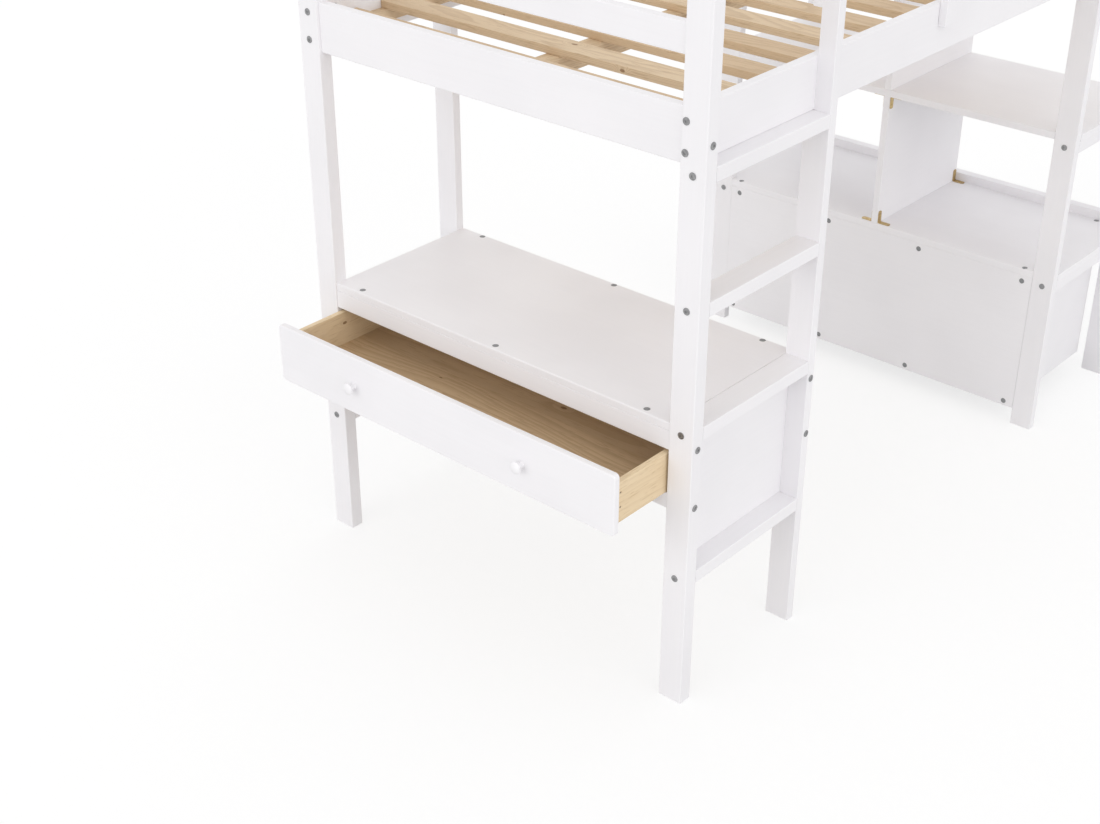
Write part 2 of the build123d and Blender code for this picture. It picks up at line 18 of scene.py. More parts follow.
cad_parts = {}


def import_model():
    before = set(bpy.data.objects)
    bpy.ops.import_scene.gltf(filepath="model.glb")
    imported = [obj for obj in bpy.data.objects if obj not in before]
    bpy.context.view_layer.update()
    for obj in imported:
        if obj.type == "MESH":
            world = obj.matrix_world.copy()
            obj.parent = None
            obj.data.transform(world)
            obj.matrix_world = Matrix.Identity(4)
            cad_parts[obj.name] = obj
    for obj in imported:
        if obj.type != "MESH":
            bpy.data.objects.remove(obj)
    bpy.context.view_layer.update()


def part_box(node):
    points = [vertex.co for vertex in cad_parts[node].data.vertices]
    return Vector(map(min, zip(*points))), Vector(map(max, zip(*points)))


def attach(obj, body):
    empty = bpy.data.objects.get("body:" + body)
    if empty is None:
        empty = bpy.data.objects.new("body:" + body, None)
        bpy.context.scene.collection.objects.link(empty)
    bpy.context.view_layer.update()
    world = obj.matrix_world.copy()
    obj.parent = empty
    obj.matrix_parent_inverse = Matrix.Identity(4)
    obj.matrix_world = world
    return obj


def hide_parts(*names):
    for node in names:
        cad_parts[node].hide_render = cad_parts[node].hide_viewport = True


LOG = logging.getLogger("loft_bed")
MM = 0.001

Colour = tuple[float, float, float]
Point = tuple[float, float, float]
Span = tuple[float, float]
Place = Sequence[float] | np.ndarray
Socket = bpy.types.NodeSocket
Trio = tuple[Socket, Socket, Socket]

ON_LEVEL = 0.1 * MM  # how near a level a CAD point has to lie to count as on it
OFF_AXIS = 0.5 * MM  # how far from an axis or a level a CAD point has to lie to count as off it


class Run(Enum):
    """Direction in which a board and its grain run, as the order that brings the grain first."""

    ALONG_X = (0, 1, 2)
    ALONG_Y = (1, 0, 2)
    ALONG_Z = (2, 0, 1)


class Slot(Enum):
    """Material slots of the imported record."""

    PAINT = "white_paint"
    PINE = "bare_pine"
    BOLT = "bolt_steel"
    ZINC = "zinc_steel"
    CAP = "cap_plastic"


# ---- Surfaces


@dataclass
class Skin:
    """Closed surface as a grid of points with a normal at each.

    Columns run round the surface and join up. The first and the last row are single points.
    """

    points: np.ndarray
    normals: np.ndarray


@dataclass
class Profile:
    """Line that is carried round an outline.

    `line` and `normals` hold, for each row, a distance out and a height. `reach` is 0 in rows that are drawn
    in to the middle and 1 elsewhere, and `hexed` is 1 in rows that follow a hexagon and 0 in round ones.
    """

    line: np.ndarray
    normals: np.ndarray
    reach: np.ndarray
    hexed: np.ndarray

    @classmethod
    def through(cls, corners: Sequence[Point], steps: int = 4, hexed: Sequence[int] = ()) -> "Profile":
        """Straight runs between corners, with an arc tangent to both runs at each corner.

        An arc of radius f between runs that turn by t starts f tan(t/2) before the corner, and its points
        are centre + f n(s), where n turns evenly from one run's normal to the other's.

        Args:
            corners: Distance out, height and arc radius of each corner, from the lowest end up the outside.
            steps: Number of parts of each arc.
            hexed: Numbers of the corners that follow a hexagon.

        Returns:
            The profile, with a row drawn in to the middle at each end.
        """
        spots = np.array(corners, float)[:, :2]
        runs = np.diff(spots, axis=0)
        runs /= np.linalg.norm(runs, axis=1)[:, None]
        sides = np.column_stack([runs[:, 1], -runs[:, 0]])
        rows, facing, owners = [spots[:1]], [sides[:1]], [0, 0]
        for number, (_, _, radius) in enumerate(corners[1:-1], 1):
            before, after = runs[number - 1], runs[number]
            turn = math.atan2(before[0] * after[1] - before[1] * after[0], float(before @ after))
            if radius:
                angles = np.linspace(0, turn, steps + 1)[:, None]
                first = sides[number - 1]
                normals = first * np.cos(angles) + first[::-1] * [-1, 1] * np.sin(angles)
                start = spots[number] - before * radius * abs(math.tan(turn / 2))
                rows.append(start + (normals - first) * math.copysign(radius, turn))
            else:
                normals = sides[number - 1 : number + 1]
                rows.append(spots[[number, number]])
            facing.append(normals)
            owners += [number] * len(normals)
        owners += [len(corners) - 1] * 2
        line = np.concatenate([spots[:1] * [0, 1], *rows, spots[-1:], spots[-1:] * [0, 1]])
        normals = np.concatenate([[[0, -1]], *facing, sides[-1:], [[0, 1]]])
        reach = np.ones(len(line))
        reach[[0, -1]] = 0
        return cls(line, normals, reach, np.isin(owners, hexed).astype(float))


def carry(
    profile: Profile, origin: Place, axis: Place, side: Place, half: Place = (0, 0), parts: int = 4
) -> Skin:
    """Profile carried round a rounded rectangle, or round a circle where the half widths are 0.

    With d(a) = (cos a, sin a), whose angle pauses at each quarter turn, a point is
    origin + sign(d) * half * reach + out * d + height * axis. Rows that follow a hexagon have `out`
    divided by the cosine of the angle to the nearest flat's middle.

    Args:
        profile: Line to carry.
        origin: Middle of the outline.
        axis: Direction of the profile's height.
        side: Direction of the outline's first half width.
        half: Half widths from the middle to the corner arcs' centres.
        parts: Parts of each quarter turn.

    Returns:
        The closed surface.
    """
    axis, side = np.asarray(axis, float), np.asarray(side, float)
    other = np.cross(axis, side)
    angles = (np.linspace(0, np.pi / 2, parts + 1) + np.arange(4)[:, None] * np.pi / 2).ravel()
    signs = np.repeat([[1, 1], [-1, 1], [-1, -1], [1, -1]], parts + 1, axis=0)
    turned = np.outer(np.cos(angles), side) + np.outer(np.sin(angles), other)
    corner = (signs * half) @ np.stack([side, other])
    flat = np.cos((angles + np.pi / 6) % (np.pi / 3) - np.pi / 6)
    out = profile.line[:, :1] * (1 + profile.hexed[:, None] * (1 / flat - 1))
    middle = np.asarray(origin, float) + profile.line[:, 1:, None] * axis
    points = middle + profile.reach[:, None, None] * corner + out[:, :, None] * turned
    return Skin(points, profile.normals[:, :1, None] * turned + profile.normals[:, 1:, None] * axis)


def box_of(points: np.ndarray) -> tuple[np.ndarray, np.ndarray]:
    """Lowest and highest corner of the box round some points."""
    return points.min(axis=0), points.max(axis=0)


def eased_bar(low: np.ndarray, high: np.ndarray, corner: float, end: float) -> Skin:
    """Bar that fills a box: a profile carried round its cross-section, a rectangle with corner arcs.

    Args:
        low: Lowest corner of the bar.
        high: Highest corner.
        corner: Radius of its long edges.
        end: Radius of its end edges.

    Returns:
        The closed surface.
    """
    size = high - low
    order = (int(np.argmax(size)) + np.arange(3)) % 3
    reach, *half = size[order] / 2 - [0, corner, corner]
    axis, side, _ = np.eye(3)[order]
    corners = [(0, -reach, 0), (corner, -reach, end), (corner, reach, end), (0, reach, 0)]
    return carry(Profile.through(corners, steps=3), (low + high) / 2, axis, side, half, parts=3)


def dome(radius: float, top: float, crown: float, share: float) -> list[Point]:
    """Last corners of a profile that ends in a dome.

    A sphere through the rim and the crown has the radius (radius^2 + crown^2) / (2 crown). The line that
    touches it at the rim meets the crown's level at that radius times tan(asin(radius / that) / 2).

    Args:
        radius: Radius of the rim.
        top: Height of the crown.
        crown: How far the crown stands above the rim.
        share: Part of the sphere's radius that the corner's arc has.

    Returns:
        The corner above the rim, and the middle of the crown.
    """
    ball = (radius**2 + crown**2) / (2 * crown)
    return [(ball * math.tan(math.asin(radius / ball) / 2), top, ball * share), (0, top, 0)]


def solids_of(name: str) -> list[np.ndarray]:
    """Points of each separate solid of a CAD node.

    Points at one place share a number, and each triangle hands the lowest number of its corners on until
    nothing changes.

    Args:
        name: Name of the CAD node.

    Returns:
        One array of points per solid.
    """
    mesh = bpy.data.objects[name].data
    places = np.empty(len(mesh.vertices) * 3)
    mesh.vertices.foreach_get("co", places)
    corners = np.empty(len(mesh.loops), int)
    mesh.loops.foreach_get("vertex_index", corners)
    spots, where = np.unique(places.reshape(-1, 3).round(6), axis=0, return_inverse=True)
    triangles = where.reshape(-1)[corners].reshape(-1, 3)
    labels = np.arange(len(spots))
    while True:
        spread = labels.copy()
        np.minimum.at(spread, triangles.ravel(), np.repeat(labels[triangles].min(axis=1), 3))
        spread = spread[spread]
        if (spread == labels).all():
            return [spots[labels == label] for label in np.unique(labels)]
        labels = spread


def mesh_of(name: str, skins: Iterable[Skin]) -> bpy.types.Mesh:
    """Mesh of several closed surfaces, each welded, with the surfaces' own normals.

    Each cell of a grid is a face from (row, column) round to the next column, the next row and back. Corners
    that lie at one place are written once, and a cell with fewer than three places is left out.

    Args:
        name: Name of the mesh.
        skins: The surfaces.

    Returns:
        The mesh.
    """
    spots, corners, totals, facing, used = [], [], [], [], 0
    for skin in skins:
        rows, columns = skin.points.shape[:2]
        places, where = np.unique(skin.points.reshape(-1, 3).round(7), axis=0, return_inverse=True)
        index = np.arange(rows * columns).reshape(rows, columns)
        across = np.roll(index, -1, axis=1)
        cells = np.stack([index[:-1], across[:-1], across[1:], index[1:]], axis=-1).reshape(-1, 4)
        placed = where.reshape(-1)[cells]
        kept = placed != np.roll(placed, 1, axis=1)
        kept[kept.sum(axis=1) < 3] = False
        spots.append(places)
        corners.append(placed[kept] + used)
        facing.append(skin.normals.reshape(-1, 3)[cells[kept]])
        counts = kept.sum(axis=1)
        totals.append(counts[counts > 0])
        used += len(places)
    places, loops, counts = np.concatenate(spots), np.concatenate(corners), np.concatenate(totals)
    mesh = bpy.data.meshes.new(name)
    mesh.vertices.add(len(places))
    mesh.vertices.foreach_set("co", places.astype(np.float32).ravel())
    mesh.loops.add(len(loops))
    mesh.loops.foreach_set("vertex_index", loops.astype(np.int32))
    mesh.polygons.add(len(counts))
    mesh.polygons.foreach_set("loop_start", (np.cumsum(counts) - counts).astype(np.int32))
    mesh.polygons.foreach_set("use_smooth", np.ones(len(counts), bool))
    mesh.update(calc_edges=True)
    mesh.validate()
    normals = np.concatenate(facing)
    mesh.normals_split_custom_set((normals / np.linalg.norm(normals, axis=1)[:, None]).tolist())
    return mesh


# ---- Shader graphs


class Graph:
    """Adds nodes to a node tree and joins them."""

    def __init__(self, tree: bpy.types.NodeTree) -> None:
        """Take the tree to add to."""
        self.tree = tree

    def add(self, kind: str, inputs: dict[str, object] | None = None, **settings: object) -> bpy.types.Node:
        """Add a node.

        Args:
            kind: The node's type.
            inputs: Values or sockets for its named inputs.
            **settings: The node's own attributes.

        Returns:
            The node.
        """
        node = self.tree.nodes.new(kind)
        for name, value in settings.items():
            setattr(node, name, value)
        self.fill(node, inputs or {})
        return node

    def fill(self, node: bpy.types.Node, inputs: dict[str, object]) -> None:
        """Feed a node's named inputs."""
        for name, value in inputs.items():
            self.feed(node.inputs[name], value)

    def feed(self, socket: Socket, value: object) -> None:
        """Link an output to a socket, or write a plain value into it."""
        if isinstance(value, bpy.types.NodeSocket):
            self.tree.links.new(value, socket)
        else:
            socket.default_value = value

    def math(self, operation: str, *values: object, kind: str = "ShaderNodeMath") -> Socket:
        """Result of a Math or Vector Math node on the given values or sockets."""
        node = self.add(kind, operation=operation)
        for socket, value in zip(node.inputs, values):
            self.feed(socket, value)
        return node.outputs[0]

    def split(self, vector: Socket) -> Trio:
        """The three parts of a vector."""
        node = self.add("ShaderNodeSeparateXYZ", {"Vector": vector})
        return node.outputs[0], node.outputs[1], node.outputs[2]

    def join(self, x: object, y: object, z: object) -> Socket:
        """Vector of three parts."""
        return self.add("ShaderNodeCombineXYZ", {"X": x, "Y": y, "Z": z}).outputs[0]

    def stretch(self, vector: Socket, factors: Point) -> Socket:
        """Vector multiplied part by part."""
        return self.math("MULTIPLY", vector, factors, kind="ShaderNodeVectorMath")

    def noise(self, vector: Socket, factors: Point, detail: float = 2.0) -> Socket:
        """Noise with the given number of waves per metre along each axis."""
        inputs = {"Vector": self.stretch(vector, factors), "Scale": 1.0, "Detail": detail}
        return self.add("ShaderNodeTexNoise", inputs).outputs["Fac"]

    def smooth(
        self, value: object, low: float, high: float, to_low: float = 0.0, to_high: float = 1.0
    ) -> Socket:
        """Smooth step of a value between two limits."""
        inputs = {"Value": value, "From Min": low, "From Max": high, "To Min": to_low, "To Max": to_high}
        return self.add("ShaderNodeMapRange", inputs, interpolation_type="SMOOTHSTEP").outputs[0]

    def blend(self, factor: object, first: object, second: object) -> Socket:
        """Colour between two colours."""
        node = self.add("ShaderNodeMix", data_type="RGBA")
        for socket, value in zip([node.inputs[0], node.inputs[6], node.inputs[7]], [factor, first, second]):
            self.feed(socket, (*value, 1.0) if isinstance(value, tuple) else value)
        return node.outputs[2]

    def group(self, tree: bpy.types.NodeTree, **inputs: object) -> bpy.types.Node:
        """Place a shared group, with underscores in the inputs' names read as spaces."""
        node = self.add("ShaderNodeGroup", node_tree=tree)
        self.fill(node, {name.replace("_", " "): value for name, value in inputs.items()})
        return node


def own_nodes(owner: bpy.types.Material | bpy.types.World) -> Graph:
    """Emptied node graph of a material or a world."""
    owner.use_nodes = True
    owner.node_tree.nodes.clear()
    return Graph(owner.node_tree)


def open_group(
    name: str, inputs: dict[str, float | None], outputs: Sequence[str]
) -> tuple[Graph, dict[str, Socket], bpy.types.Node]:
    """Start a shared node group.

    Args:
        name: Name of the group.
        inputs: Default of each input, or None for a vector.
        outputs: Names of its outputs, which are all plain values.

    Returns:
        The graph, the sockets that carry the inputs, and the node that takes the outputs.
    """
    tree = bpy.data.node_groups.new(name, "ShaderNodeTree")
    for label, default in inputs.items():
        kind = "NodeSocketVector" if default is None else "NodeSocketFloat"
        socket = tree.interface.new_socket(name=label, in_out="INPUT", socket_type=kind)
        if default is not None:
            socket.default_value = default
    for label in outputs:
        tree.interface.new_socket(name=label, in_out="OUTPUT", socket_type="NodeSocketFloat")
    graph = Graph(tree)
    start = graph.add("NodeGroupInput")
    return graph, {label: start.outputs[label] for label in inputs}, graph.add("NodeGroupOutput")


@dataclass(frozen=True)
class WoodFigure:
    """Shared group: rings, fibres and knots of sawn softwood whose grain runs along the vector's X.

    Waves are per metre and bends in metres, and a knot's sizes are parts of its cell. Built with `rows`, the
    group gives each board of a row its own piece of the tree.
    """

    knot_cell: Point = (0.17, 0.09, 1.0)
    knot_size: float = 0.06
    knot_share: float = 0.66
    knot_edge: float = 0.014
    flow_size: float = 4.0
    flow_edge: float = 0.22
    flow_bend: float = 0.014
    slow_waves: Point = (1.7, 7.0, 7.0)
    slow_gain: float = 4.0
    quick_waves: Point = (9.0, 60.0, 60.0)
    quick_bend: float = 0.0022
    uneven_waves: Point = (0.45, 1.0, 1.0)
    uneven_gain: float = 2.2
    late_rise: Span = (0.3, 0.88)
    late_fall: Span = (0.9, 1.0)
    fibre_waves: Point = (11.0, 620.0, 620.0)
    fibre_share: float = 0.55
    pore_waves: Point = (45.0, 1900.0, 1900.0)
    pore_share: float = 0.45
    fleck_waves: Point = (24.0, 300.0, 300.0)
    fleck_limits: Span = (0.56, 0.7)
    tone_waves: Point = (1.3, 16.0, 16.0)
    throw: Point = (3.1, 0.09, 0.03)

    def thrown(self, graph: Graph, start: dict[str, Socket]) -> tuple[Socket, Socket]:
        """Coordinates in which each board of a row lies elsewhere in the tree.

        Boards are numbered by floor((Y - Start) / Pitch), and each number turns into a random shift.

        Args:
            graph: The group's graph.
            start: The group's inputs, with Start and Pitch.

        Returns:
            The coordinates, and a random shade for each board.
        """
        x, y, z = graph.split(start["Vector"])
        steps = graph.math("DIVIDE", graph.math("SUBTRACT", y, start["Start"]), start["Pitch"])
        number = graph.math("FLOOR", steps)
        dice = graph.add("ShaderNodeTexWhiteNoise", {"W": number}, noise_dimensions="1D")
        local = graph.math("MULTIPLY", graph.math("FRACT", steps), start["Pitch"])
        rolls = zip(graph.split(dice.outputs["Color"]), self.throw, (x, local, z))
        shifted = graph.join(*(graph.math("MULTIPLY_ADD", roll, throw, part) for roll, throw, part in rolls))
        return shifted, dice.outputs["Value"]

    def build(self, rows: bool = False) -> bpy.types.NodeTree:
        """Make the group.

        The ring pattern is a saw tooth of the distance from the tree's heart, which a slow noise bends and
        each knot pushes outwards.

        Args:
            rows: Whether the group is for a row of boards.

        Returns:
            Group with inputs Vector, Ring Width, Sway, Heart Side and Heart Depth, and outputs Late, Fibre,
            Fleck, Knot and Tone. For rows it also has inputs Start and Pitch, and output Shade.
        """
        inputs = {"Vector": None, "Ring Width": 0.0045, "Sway": 0.01, "Heart Side": 0.02, "Heart Depth": 0.05}
        outputs = ["Late", "Fibre", "Fleck", "Knot", "Tone"]
        if rows:
            inputs |= {"Start": 0.0, "Pitch": 0.1}
            outputs.append("Shade")
        graph, start, end = open_group("board_row_figure" if rows else "sawn_wood_figure", inputs, outputs)
        calc, vector = graph.math, start["Vector"]
        if rows:
            vector, shade = self.thrown(graph, start)
            graph.fill(end, {"Shade": shade})
        x, y, z = graph.split(vector)
        flat = graph.join(x, calc("ADD", y, z), 0.0)
        cells = graph.stretch(flat, tuple(1 / side for side in self.knot_cell))
        knots = graph.add("ShaderNodeTexVoronoi", {"Vector": cells, "Scale": 1.0}, voronoi_dimensions="2D")
        chance = graph.split(knots.outputs["Color"])[0]
        size = graph.smooth(chance, 1 - self.knot_share, 1.0, 0.0, self.knot_size)
        away = knots.outputs["Distance"]
        knot = graph.smooth(calc("SUBTRACT", size, away), 0.0, self.knot_edge)
        round_knot = calc("SUBTRACT", calc("MULTIPLY", size, self.flow_size), away)
        flow = graph.smooth(round_knot, 0.0, self.flow_edge)

        across = calc("SUBTRACT", y, start["Heart Side"])
        deep = calc("ADD", z, start["Heart Depth"])
        radius = calc("SQRT", calc("ADD", calc("POWER", across, 2.0), calc("POWER", deep, 2.0)))
        slow = calc("SUBTRACT", graph.noise(vector, self.slow_waves, 1.0), 0.5)
        quick = calc("SUBTRACT", graph.noise(vector, self.quick_waves), 0.5)
        bent = calc("MULTIPLY_ADD", slow, calc("MULTIPLY", start["Sway"], self.slow_gain), radius)
        bent = calc("MULTIPLY_ADD", quick, self.quick_bend, bent)
        bent = calc("MULTIPLY_ADD", flow, self.flow_bend, bent)
        turns = calc("DIVIDE", bent, start["Ring Width"])
        uneven = graph.noise(graph.join(turns, 0.0, 0.0), self.uneven_waves, 1.0)
        phase = calc("FRACT", calc("MULTIPLY_ADD", uneven, self.uneven_gain, turns))
        fall = graph.smooth(phase, *self.late_fall, 1.0, 0.0)

        fibre = calc("MULTIPLY", graph.noise(vector, self.fibre_waves, 3.0), self.fibre_share)
        pore = graph.noise(vector, self.pore_waves, 1.0)
        fleck = graph.smooth(graph.noise(vector, self.fleck_waves), *self.fleck_limits)
        made = {
            "Late": calc("MULTIPLY", graph.smooth(phase, *self.late_rise), fall),
            "Fibre": calc("MULTIPLY_ADD", pore, self.pore_share, fibre),
            "Fleck": calc("MAXIMUM", fleck, knot),
            "Knot": knot,
            "Tone": graph.noise(vector, self.tone_waves),
        }
        graph.fill(end, made)
        return graph.tree


@dataclass(frozen=True)
class NoiseSkin:
    """Shared group: named noises of a surface, each by its waves per metre and its detail."""

    name: str
    noises: dict[str, tuple[Point, float]]

    def build(self) -> bpy.types.NodeTree:
        """Make the group, with input Vector and an output for each noise."""
        graph, start, end = open_group(self.name, {"Vector": None}, list(self.noises))
        graph.fill(end, {label: graph.noise(start["Vector"], *noise) for label, noise in self.noises.items()})
        return graph.tree


PAINT_SKIN = NoiseSkin(
    "sprayed_paint_skin",
    {"Cloud": ((4.5,) * 3, 2.0), "Grain": ((7.0, 210.0, 210.0), 3.0), "Stipple": ((780.0,) * 3, 1.0)},
)
METAL_SKIN = NoiseSkin(
    "plated_metal_skin", {"Cloud": ((170.0,) * 3, 2.0), "Scratch": ((300.0, 2600.0, 900.0), 3.0)}
)


@dataclass(frozen=True)
class SharedGroups:
    """The shader groups that the finishes share, built once."""

    figure: bpy.types.NodeTree
    row_figure: bpy.types.NodeTree
    paint: bpy.types.NodeTree
    metal: bpy.types.NodeTree


# ---- Finishes


@dataclass(frozen=True, kw_only=True)
class Finish(ABC):
    """What all finishes have: a name, a span of roughness, and a fine relief with its depth in metres."""

    name: str
    metallic: float = 0.0
    wear_limits: Span = (0.3, 0.7)
    roughness: Span
    relief: float
    relief_depth: float = 0.1 * MM

    @abstractmethod
    def look(self, graph: Graph, groups: SharedGroups, place: Socket) -> Trio:
        """Pattern of the finish.

        Args:
            graph: The material's graph.
            groups: The shared shader groups.
            place: Object coordinates, with the grain's direction first.

        Returns:
            Colour, wear that becomes roughness, and height of the surface.
        """

    def material(self, groups: SharedGroups, run: Run | None = None) -> bpy.types.Material:
        """Material of the finish.

        Args:
            groups: The shared shader groups.
            run: Direction of the boards that it is for, where it has a grain.

        Returns:
            The material.
        """
        material = bpy.data.materials.new(f"{self.name}_{run.name.lower()}" if run else self.name)
        graph = own_nodes(material)
        place = graph.add("ShaderNodeTexCoord").outputs["Object"]
        if run:
            parts = graph.split(place)
            place = graph.join(*(parts[number] for number in run.value))
        colour, wear, height = self.look(graph, groups, place)
        roughness = graph.smooth(wear, *self.wear_limits, *self.roughness)
        relief = {"Height": height, "Strength": self.relief, "Distance": self.relief_depth}
        normal = graph.add("ShaderNodeBump", relief).outputs[0]
        inputs = {"Base Color": colour, "Metallic": self.metallic, "Roughness": roughness, "Normal": normal}
        shader = graph.add("ShaderNodeBsdfPrincipled", inputs)
        graph.add("ShaderNodeOutputMaterial", {"Surface": shader.outputs[0]})
        return material


@dataclass(frozen=True, kw_only=True)
class WhitePaint(Finish):
    """Satin white paint over pine."""

    name: str = "white_paint"
    high: Colour = (0.882, 0.868, 0.887)
    low: Colour = (0.855, 0.841, 0.861)
    grain_shade: float = 0.35
    grain_relief: float = 0.7
    stipple_relief: float = 0.3
    shade_limits: Span = (0.45, 0.95)
    wear_limits: Span = (0.25, 0.75)
    roughness: Span = (0.42, 0.54)
    relief: float = 0.22
    relief_depth: float = 0.25 * MM

    def look(self, graph: Graph, groups: SharedGroups, place: Socket) -> Trio:
        """Faint clouds, the grain that still shows, and the spray's stipple.

        Args:
            graph: The material's graph.
            groups: The shared shader groups.
            place: Object coordinates, with the grain's direction first.

        Returns:
            Colour, wear and height of the surface.
        """
        cloud, grain, stipple = graph.group(groups.paint, Vector=place).outputs
        shade = graph.math("MULTIPLY_ADD", grain, self.grain_shade, cloud)
        fine = graph.math("MULTIPLY", stipple, self.stipple_relief)
        colour = graph.blend(graph.smooth(shade, *self.shade_limits), self.high, self.low)
        return colour, cloud, graph.math("MULTIPLY_ADD", grain, self.grain_relief, fine)


@dataclass(frozen=True, kw_only=True)
class BarePine(Finish):
    """Planed pine without varnish.

    `heart` is where the tree's heart lies beside and below the boards, `shift` moves them in the tree, and
    `rows` is the start and pitch of a row of boards.
    """

    light: Colour = (0.72, 0.56, 0.375)
    late: Colour = (0.5, 0.345, 0.2)
    warm: Colour = (0.64, 0.47, 0.295)
    knot: Colour = (0.27, 0.15, 0.07)
    ring_width: float = 0.0052
    sway: float = 0.012
    late_share: float = 0.5
    late_relief: float = 0.5
    fleck_share: float = 0.7
    streak_share: float = 0.4
    streak_limits: Span = (0.52, 0.72)
    tone_limits: Span = (0.3, 0.95)
    knot_share: float = 0.85
    row_shade: float = 0.45
    heart: Span = (0.02, 0.045)
    shift: Point = (0.0, 0.0, 0.0)
    rows: Span | None = None
    roughness: Span = (0.5, 0.68)
    relief: float = 0.35
    relief_depth: float = 0.3 * MM

    def look(self, graph: Graph, groups: SharedGroups, place: Socket) -> Trio:
        """Late wood, streaks, flecks and knots over a ground of changing tone.

        Args:
            graph: The material's graph.
            groups: The shared shader groups.
            place: Object coordinates, with the grain's direction first.

        Returns:
            Colour, wear and height of the surface.
        """
        row = {"Start": self.rows[0], "Pitch": self.rows[1]} if self.rows else {}
        figure = graph.group(
            groups.row_figure if self.rows else groups.figure,
            Vector=graph.math("ADD", place, self.shift, kind="ShaderNodeVectorMath"),
            Ring_Width=self.ring_width,
            Sway=self.sway,
            Heart_Side=self.heart[0],
            Heart_Depth=self.heart[1],
            **row,
        ).outputs
        tone, late, fibre = figure["Tone"], figure["Late"], figure["Fibre"]
        if self.rows:
            tone = graph.math("MULTIPLY_ADD", figure["Shade"], self.row_shade, tone)
        ground = graph.blend(graph.smooth(tone, *self.tone_limits), self.light, self.warm)
        ringed = graph.blend(graph.math("MULTIPLY", late, self.late_share), ground, self.late)
        streak = graph.smooth(fibre, *self.streak_limits, 0.0, self.streak_share)
        marks = graph.math("MAXIMUM", streak, graph.math("MULTIPLY", figure["Fleck"], self.fleck_share))
        knots = graph.math("MULTIPLY", figure["Knot"], self.knot_share)
        colour = graph.blend(knots, graph.blend(marks, ringed, self.late), self.knot)
        return colour, fibre, graph.math("MULTIPLY_ADD", late, self.late_relief, fibre)


@dataclass(frozen=True, kw_only=True)
class PlatedMetal(Finish):
    """Plated steel of the bolts, screws and brackets."""

    bright: Colour
    dull: Colour
    cloud_limits: Span = (0.35, 0.65)
    metallic: float = 1.0
    roughness: Span = (0.32, 0.5)
    relief: float = 0.2

    def look(self, graph: Graph, groups: SharedGroups, place: Socket) -> Trio:
        """Cloudy plating with fine scratches."""
        cloud, scratch = graph.group(groups.metal, Vector=place).outputs
        return graph.blend(graph.smooth(cloud, *self.cloud_limits), self.bright, self.dull), scratch, scratch


@dataclass(frozen=True, kw_only=True)
class MouldedCap(Finish):
    """Grey moulded plastic of the screw caps."""

    name: str = "moulded_cap"
    light: Colour = (0.27, 0.275, 0.28)
    dark: Colour = (0.21, 0.215, 0.22)
    cloud_waves: float = 900.0
    roughness: Span = (0.45, 0.6)
    relief: float = 0.15

    def look(self, graph: Graph, groups: SharedGroups, place: Socket) -> Trio:
        """Fine grain of the mould, which needs no shared group."""
        cloud = graph.noise(place, (self.cloud_waves,) * 3)
        return graph.blend(cloud, self.light, self.dark), cloud, cloud


@dataclass
class Finishes:
    """Every material of the bed."""

    groups: SharedGroups
    slat_rows: Span
    paint: dict[Run, bpy.types.Material] = field(init=False)
    slats: bpy.types.Material = field(init=False)
    pine: dict[Run, bpy.types.Material] = field(init=False)
    pale_pine: dict[Run, bpy.types.Material] = field(init=False)
    drawer_floor: bpy.types.Material = field(init=False)
    bolt: bpy.types.Material = field(init=False)
    screw: bpy.types.Material = field(init=False)
    zinc: bpy.types.Material = field(init=False)
    cap: bpy.types.Material = field(init=False)

    def __post_init__(self) -> None:
        """Build the materials."""
        slats = BarePine(name="slat_pine", rows=self.slat_rows, ring_width=0.0027, sway=0.007)
        beam = BarePine(name="beam_pine", heart=(0.01, -1.16), shift=(0.4, 0.0, 0.0))
        box = BarePine(
            name="drawer_pine",
            light=(0.82, 0.66, 0.445),
            warm=(0.76, 0.585, 0.37),
            late=(0.62, 0.45, 0.255),
            late_share=0.22,
            heart=(0.03, -0.42),
            shift=(1.7, 0.0, 0.0),
        )
        sheet = BarePine(
            name="drawer_floor_pine",
            light=(0.7, 0.51, 0.31),
            warm=(0.61, 0.435, 0.26),
            late=(0.5, 0.335, 0.185),
            ring_width=0.013,
            sway=0.03,
            late_share=0.6,
            heart=(0.06, -0.49),
            shift=(0.35, 0.0, 0.0),
            rows=(-1.07, 0.118),
        )
        bolt = PlatedMetal(name="grey_zinc", bright=(0.36, 0.36, 0.365), dull=(0.27, 0.27, 0.275))
        screw = PlatedMetal(name="dark_screw", bright=(0.2, 0.18, 0.15), dull=(0.12, 0.105, 0.09))
        zinc = PlatedMetal(name="yellow_zinc", bright=(0.62, 0.47, 0.23), dull=(0.47, 0.34, 0.17))
        self.paint, self.pine, self.pale_pine = (
            {run: finish.material(self.groups, run) for run in Run} for finish in (WhitePaint(), beam, box)
        )
        self.slats, self.drawer_floor = (board.material(self.groups, Run.ALONG_X) for board in (slats, sheet))
        self.bolt, self.screw, self.zinc, self.cap = (
            finish.material(self.groups) for finish in (bolt, screw, zinc, MouldedCap())
        )


# ---- The bed's sub-assemblies


def add_object(name: str, data: bpy.types.ID) -> bpy.types.Object:
    """Put a new object into the scene."""
    thing = bpy.data.objects.new(name, data)
    bpy.context.scene.collection.objects.link(thing)
    return thing


def set_piece(
    name: str,
    skins: Iterable[Skin],
    material: bpy.types.Material,
    nodes: Sequence[str],
    body: str = "frame",
) -> None:
    """Add a finished piece that stands for CAD nodes.

    Args:
        name: Name of the piece.
        skins: Its closed surfaces.
        material: Its material.
        nodes: The CAD nodes that it stands for.
        body: The CAD body that it rides on.
    """
    piece = add_object(name, mesh_of(name, skins))
    piece.data.materials.append(material)
    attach(piece, body)
    if nodes:
        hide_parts(*nodes)
    LOG.info("%s: %d faces on %s", name, len(piece.data.polygons), body)


